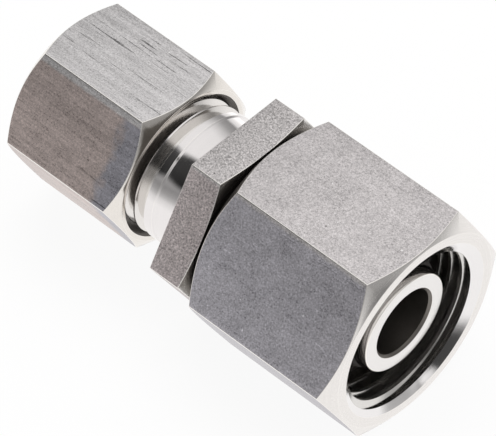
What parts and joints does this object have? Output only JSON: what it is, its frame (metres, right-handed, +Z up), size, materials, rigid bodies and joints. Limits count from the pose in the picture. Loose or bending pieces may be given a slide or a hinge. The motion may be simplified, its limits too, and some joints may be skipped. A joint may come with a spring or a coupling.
{
  "type": "reducing tube fitting",
  "caption": "Straight reducing fitting for hydraulic tube: sealing cone with O-ring under a swivel nut at one end, threaded stud with cutting ring and union nut at the other.",
  "frame": {"origin": "on the axis at the tube stop of the socket, where the end of an 8 mm tube rests", "axes": "+X along the axis towards the swivel nut, +Z up, with a flat of the swivel nut facing down"},
  "size_m": [0.0494, 0.0278, 0.024],
  "materials": {
    "body_steel": "turned stainless steel with a fine-grained hexagon",
    "nut_steel": "drawn stainless hexagon bar with fine lengthwise lines and light scratches",
    "ring_steel": "turned stainless steel",
    "spring_steel": "drawn stainless spring wire",
    "seal_rubber": "matt nitrile rubber"
  },
  "bodies": {
    "fitting": {"fitting_body": "body_steel", "o_ring": "seal_rubber", "wire_ring": "spring_steel"},
    "swivel": {"swivel_nut": "nut_steel"},
    "ring": {"cutting_ring": "ring_steel"},
    "union": {"union_nut": "nut_steel"}
  },
  "joints": [
    {"name": "swivel_turn", "type": "hinge", "parent": "fitting", "child": "swivel", "pos_m": [0, 0, 0], "axis": [1, 0, 0], "continuous": true},
    {"name": "ring_slide", "type": "slide", "parent": "fitting", "child": "ring", "axis": [1, 0, 0], "range_m": [-0.003, 0]},
    {"name": "union_turn", "type": "hinge", "parent": "ring", "child": "union", "pos_m": [0, 0, 0], "axis": [1, 0, 0], "range_deg": [-720.1, 0]}
  ],
  "couplings": [
    {"joint": "union_turn", "follows": "ring_slide", "rad_per_m": 4188.8}
  ]
}
